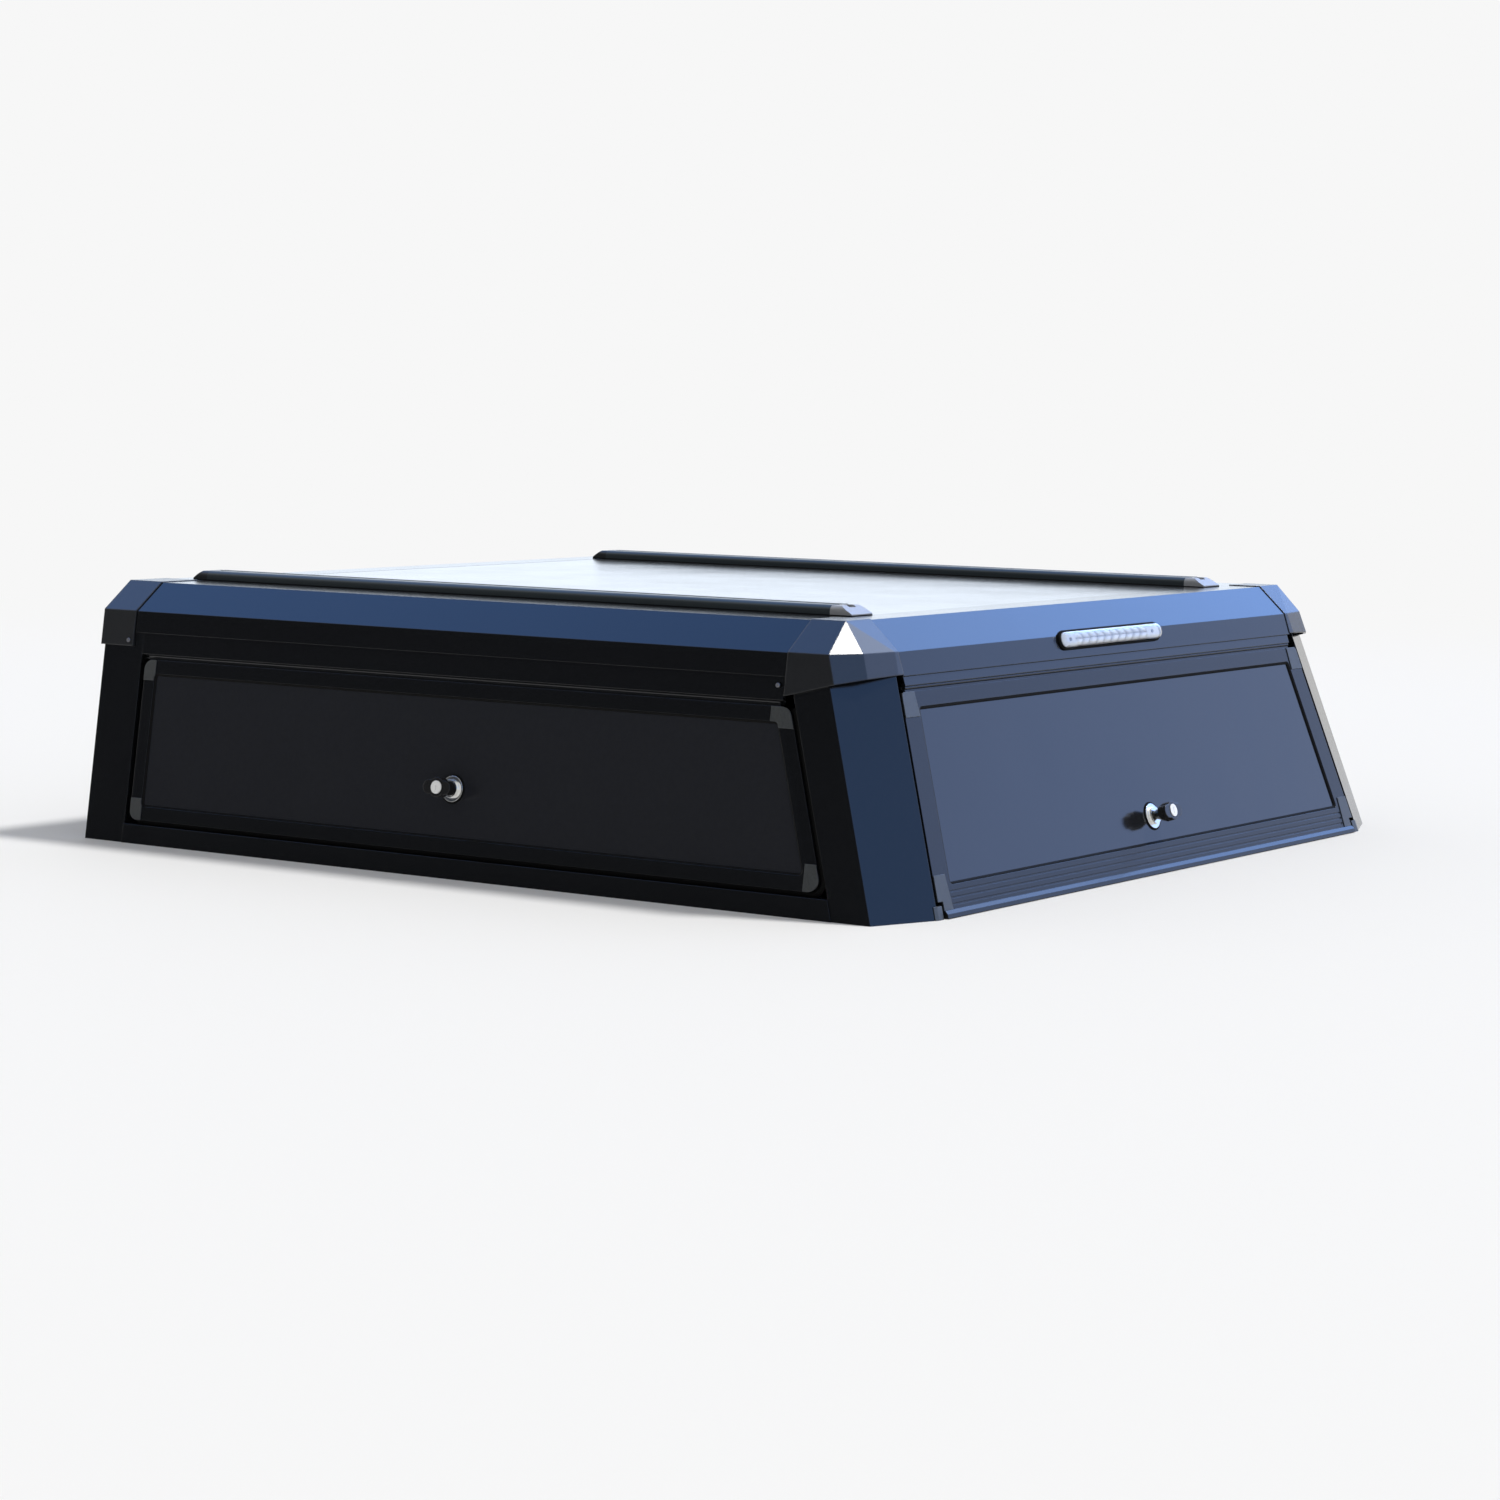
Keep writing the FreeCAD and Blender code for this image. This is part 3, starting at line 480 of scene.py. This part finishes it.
screwLook = {"profile": [(0, -0.0010), (0.0034, -0.0010), (0.0034, 0.0004), (0.0028, 0.0014), (0.0019, 0.0019),
                         (0.0015, 0.0019), (0.0015, 0.0006), (0, 0.0006)],
             "socketRings": (5, 6), "sidePlaces": [(-0.702, 0.2965), (0.452, 0.2960)], "proud": 0.0042}


def hexSocket(t, j):
    # the two inner rings of the screw's profile follow a hexagon: r = cos 30 / cos(angle from the nearest flat's middle)
    flat = np.cos(np.pi / 6) / np.cos(np.mod(t, np.pi / 3) - np.pi / 6)
    return np.where(np.isin(j, screwLook["socketRings"]), flat, 1.0)


for side in ("left", "right"):
    profile = [(r, n + screwLook["proud"]) for r, n in screwLook["profile"]]
    for i, place in enumerate(screwLook["sidePlaces"]):
        spin("cap_screw_%s_%d" % (side, i + 1), side, place, profile, "screw_steel", "frame")

# High brake light: gasket, ribbed reflector and its screws, and a clear cover over them

lampLook = {"centre": 0.3285 * rearSlope, "half": 0.131, "radius": 0.011, "base": 0.0055, "top": 0.0140,
            "wall": 0.0012, "lip": 0.0012, "coverShares": [1.0, 1.0, 0.97, 0.90, 0.78, 0.60, 0.40, 0.20, 0.0],
            "gasket": [(-0.0004, 0.0028), (0.0030, 0.0028), (0.0032, 0.0050), (0.0022, 0.0068),
                       (0.0008, 0.0072), (-0.0002, 0.0064)]}

# the flat tone is painted shade: the grey given to the flat tray past the leaves
trayLook = {"endLength": 0.0090, "endRound": 0.0095, "rimGap": 0.0016, "thick": 0.0014, "level": 0.0074,
            "cells": 10, "cellReach": 0.104, "cellFade": 0.004, "perCell": 26, "perRow": 9, "shares": (0.02, 0.98),
            "slant": 0.55, "deep": 0.0034, "flatShadeTone": 0.72, "screw": 0.1185, "screwSize": 0.85}


def lampCover(look):
    # outer shell: the oblong's ring r falls from 1 to 0 while the height follows top * (1 - r^5)^(1/3); the inner
    # shell is the same form less the wall, so that the cover has its real thickness
    points, normals = oblongLoop(look["half"], look["radius"], look["centre"])
    axis = points - normals * look["radius"]
    share = np.array(look["coverShares"])
    climb = (look["top"] - look["base"]) * (1 - share ** 5) ** (1 / 3)
    climb[:2] = 0.0, look["lip"]
    reach = np.concatenate([look["radius"] * share, (look["radius"] - look["wall"]) * share[::-1]])
    flat = axis[:, None, :] + normals[:, None, :] * reach[None, :, None]
    height = look["base"] + np.concatenate([climb, np.maximum(climb[::-1] - look["wall"], 0.0)])
    grid = onFace("rear", flat[..., 0], flat[..., 1], height[None, :])
    rows, columns = grid.shape[:2]
    seam = len(share) - 1
    faces = [f for f in quads(rows, columns, True, True) if {f[0] % columns, f[1] % columns} != {seam, seam + 1}]
    piece = makePiece("lamp_cover", grid.reshape(-1, 3), faces, "lens_clear", "frame")
    weld(piece)
    return piece


def lampReflector(lamp, look):
    # height(x, y) = level + deep * cell, where a cell is a rounded leaf sqrt(1 - u^2) * sqrt(1 - w^2): u runs across it and
    # leans away from the middle line by the slant, w runs from that line to the rim; past the reach the tray is flat
    longest = lamp["half"] + look["endLength"]
    x = np.linspace(-longest, longest, look["cells"] * look["perCell"] + 1)
    near, far = look["shares"]
    share = np.concatenate([np.linspace(-far, -near, look["perRow"]), np.linspace(near, far, look["perRow"])])
    past = np.clip((np.abs(x) - lamp["half"]) / look["endRound"], 0, 1)
    halfWidth = (lamp["radius"] - look["rimGap"]) * np.sqrt(1 - past ** 2)
    gridX, gridShare = np.meshgrid(x, share, indexing="ij")
    gridY = halfWidth[:, None] * gridShare + lamp["centre"]
    turn = gridX / look["cellReach"] * look["cells"] / 2 + look["slant"] * np.abs(gridShare)
    u = np.mod(turn, 1.0) * 2 - 1
    w = np.abs(gridShare) * 2 - 1
    cell = np.sqrt(np.clip(1 - u ** 2, 0, 1)) * np.sqrt(np.clip(1 - w ** 2, 0, 1))
    inside = np.clip((look["cellReach"] - np.abs(gridX)) / look["cellFade"], 0, 1)
    top = onFace("rear", gridX, gridY, look["level"] + look["deep"] * cell * inside)
    low = onFace("rear", gridX, gridY, look["level"] - look["thick"])
    number = np.arange(gridX.size).reshape(gridX.shape)
    upper = np.array(quads(*gridX.shape, False, False))
    rim = np.concatenate([number[:, 0], number[-1, 1:], number[-2::-1, -1], number[0, -2:0:-1]])
    nextRim = np.roll(rim, -1)
    walls = np.stack([rim, nextRim, nextRim + gridX.size, rim + gridX.size], 1)
    faces = upper.tolist() + (upper[:, ::-1] + gridX.size).tolist() + walls.tolist()
    points = np.concatenate([top.reshape(-1, 3), low.reshape(-1, 3)])
    piece = makePiece("lamp_reflector", points, faces, "reflector_white", "frame")
    # the ridge values carry the painted shade: the leaf's height, or the flat tray's fixed grey
    ridge = piece.data.attributes.new("ridge", "FLOAT", "POINT")
    tone = np.where(inside > 0, cell, look["flatShadeTone"]).ravel()
    ridge.data.foreach_set("value", np.concatenate([tone, tone]).astype(np.float32))
    return piece


cover = lampCover(lampLook)
lampReflector(lampLook, trayLook)
for i, x in enumerate((-trayLook["screw"], trayLook["screw"])):
    profile = [(r * trayLook["screwSize"], n + trayLook["level"]) for r, n in screwLook["profile"]]
    spin("lamp_screw_%d" % (i + 1), "rear", (x, lampLook["centre"]), profile, "screw_steel", "frame")
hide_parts("brake_light_lens")
carryRound("lamp_gasket", "rear", oblongLoop(lampLook["half"], lampLook["radius"], lampLook["centre"]),
           lampLook["gasket"], "rubber_black", "frame")

# Thin gaskets under the cargo rails

railLook = {"x": 0.49703, "halfWidth": 0.0250, "rear": yShift - 0.713, "front": yShift + 0.469, "level": 0.376,
            "radius": 0.0015, "arcSteps": 4,
            "section": [(-0.0012, 0.0), (0.0008, 0.0), (0.0009, 0.0006), (0.0004, 0.0011), (-0.0012, 0.0011)]}


def railGasket(name, sign, look):
    # closed strip round the rail's foot: a rounded rectangle's outline with a small section, on the roof
    x0, x1 = sign * look["x"] - look["halfWidth"], sign * look["x"] + look["halfWidth"]
    y0, y1 = look["rear"], look["front"]
    points, normals = roundedLoop([(x0, y0), (x1, y0), (x1, y1), (x0, y1)], look["radius"], look["arcSteps"])
    section = np.array(look["section"])
    flat = points[:, None, :] + normals[:, None, :] * section[None, :, :1]
    height = np.broadcast_to(look["level"] + section[None, :, 1:], flat.shape[:2] + (1,))
    grid = np.concatenate([flat, height], -1)
    return makePiece(name, grid.reshape(-1, 3), quads(*grid.shape[:2], True, True), "rubber_black", "frame")


for side, sign in (("left", -1), ("right", 1)):
    railGasket("rail_gasket_" + side, sign, railLook)
print("seals, screws, locks and lamp made")


# Floor, light and camera

studio = {"floorSize": 60.0, "background": (0.93, 0.93, 0.93), "floorColour": (0.90, 0.90, 0.90), "floorRough": 0.8,
          "floorShine": 0.2, "fadeFrom": 2.4, "fadeTo": 6.0, "worldLight": (0.46, 0.46, 0.46)}

# soft lights and one dark card that gloss sees in the pale backdrop: azimuth, height, full and faded reach, in degrees
softPatches = [{"azimuth": 42, "height": 10, "full": 17, "faded": 24, "colour": (1.32, 1.45, 1.62)},
               {"azimuth": 73, "height": 62, "full": 18, "faded": 34, "colour": (0.34, 0.72, 1.7)},
               {"azimuth": -43, "height": 18, "full": 12, "faded": 33, "colour": (0.82, 1.18, 2.15)},
               {"azimuth": -2, "height": 34, "full": 12, "faded": 28, "colour": (1.15, 2.05, 4.4)},
               {"azimuth": -20, "height": 43, "full": 7, "faded": 15, "colour": (3.4, 4.1, 5.8)},
               {"azimuth": -97, "height": 28, "full": 22, "faded": 34, "colour": (0.34, 0.76, 1.75)},
               {"azimuth": 158, "height": 8, "full": 30, "faded": 44, "colour": (0.05, 0.055, 0.065)}]


def backdropRays(tree, path):
    # 1 for the rays that see the backdrop: from the camera, or off gloss, or through the clear cover
    seen = doMath(tree, "MAXIMUM", path.outputs["Is Camera Ray"], path.outputs["Is Glossy Ray"])
    return doMath(tree, "MAXIMUM", seen, path.outputs["Is Transmission Ray"])


def makeFloor():
    # a square of side floorSize, far larger than the view, that fades into the backdrop
    half = studio["floorSize"] / 2
    mesh = bpy.data.meshes.new("floor")
    mesh.from_pydata([(-half, -half, 0), (half, -half, 0), (half, half, 0), (-half, half, 0)], [], [(0, 1, 2, 3)])
    floor = bpy.data.objects.new("floor", mesh)
    scene.collection.objects.link(floor)
    mat, tree, shader = newMaterial("floor")
    shader.inputs["Base Color"].default_value = (*studio["floorColour"], 1)
    shader.inputs["Roughness"].default_value = studio["floorRough"]
    shader.inputs["Specular IOR Level"].default_value = studio["floorShine"]
    place = addNode(tree, "ShaderNodeTexCoord")
    far = addNode(tree, "ShaderNodeVectorMath", {"operation": "LENGTH"}, i0=place.outputs["Object"])
    fade = rise(tree, far.outputs["Value"], studio["fadeFrom"], studio["fadeTo"])
    path = addNode(tree, "ShaderNodeLightPath")
    amount = doMath(tree, "MULTIPLY", fade, backdropRays(tree, path))
    back = addNode(tree, "ShaderNodeEmission", Color=(*studio["background"], 1), Strength=1.0)
    mix = addNode(tree, "ShaderNodeMixShader", i0=amount, i1=shader.outputs[0], i2=back.outputs[0])
    tree.links.new(mix.outputs[0], tree.nodes["Material Output"].inputs["Surface"])
    mesh.materials.append(mat)


def softPatch(tree, way, patch):
    # 1 in the full part of a patch and 0 past its faded part, by the cosine to its middle
    turn, up = radians(patch["azimuth"]), radians(patch["height"])
    middle = (cos(turn) * cos(up), sin(turn) * cos(up), sin(up))
    near = addNode(tree, "ShaderNodeVectorMath", {"operation": "DOT_PRODUCT"}, i0=way, i1=middle)
    return rise(tree, near.outputs["Value"], cos(radians(patch["faded"])), cos(radians(patch["full"])))


def makeWorld():
    # plain light for the matt surfaces, and a pale backdrop in which gloss also sees the soft lights and the dark card
    world = bpy.data.worlds.new("studio")
    scene.world = world
    world.use_nodes = True
    tree = world.node_tree
    light = tree.nodes["Background"]
    light.inputs["Color"].default_value = (*studio["worldLight"], 1)
    way = addNode(tree, "ShaderNodeTexCoord").outputs["Generated"]
    dome = studio["background"]
    for patch in softPatches:
        dome = mixColour(tree, softPatch(tree, way, patch), dome, patch["colour"])
    path = addNode(tree, "ShaderNodeLightPath")
    tone = mixColour(tree, path.outputs["Is Glossy Ray"], studio["background"], dome)
    back = addNode(tree, "ShaderNodeBackground", Color=tone)
    mix = addNode(tree, "ShaderNodeMixShader", i0=backdropRays(tree, path), i1=light.outputs[0], i2=back.outputs[0])
    tree.links.new(mix.outputs[0], tree.nodes["World Output"].inputs["Surface"])


sunLight = {"from": (0.311, -0.393, 0.866), "angle": 10.0, "strength": 2.1, "colour": (1.0, 0.99, 0.97)}


def makeSun():
    # high and a little behind, so that it glints in the corner facet of the left rear cap
    lamp = bpy.data.lights.new("key", "SUN")
    lamp.energy = sunLight["strength"]
    lamp.angle = radians(sunLight["angle"])
    lamp.color = sunLight["colour"]
    sun = bpy.data.objects.new("key", lamp)
    sun.matrix_world = Vector(sunLight["from"]).to_track_quat("Z", "Y").to_matrix().to_4x4()
    scene.collection.objects.link(sun)


view = {"place": (-4.594, -3.155, 0.686), "aim": (0.0021, 0.0188, 0.1236), "roll": 0.769, "lens": 88.3, "sensor": 36.0}


def makeCamera():
    eye = Vector(view["place"])
    turn = (Vector(view["aim"]) - eye).to_track_quat("-Z", "Y").to_matrix().to_4x4()
    data = bpy.data.cameras.new("camera")
    data.lens = view["lens"]
    data.sensor_width = view["sensor"]
    camera = bpy.data.objects.new("camera", data)
    camera.matrix_world = Matrix.Translation(eye) @ turn @ Matrix.Rotation(radians(view["roll"]), 4, "Z")
    scene.collection.objects.link(camera)
    scene.camera = camera


makeFloor()
makeWorld()
makeSun()
makeCamera()
scene.view_settings.view_transform = "Standard"
print("studio ready")
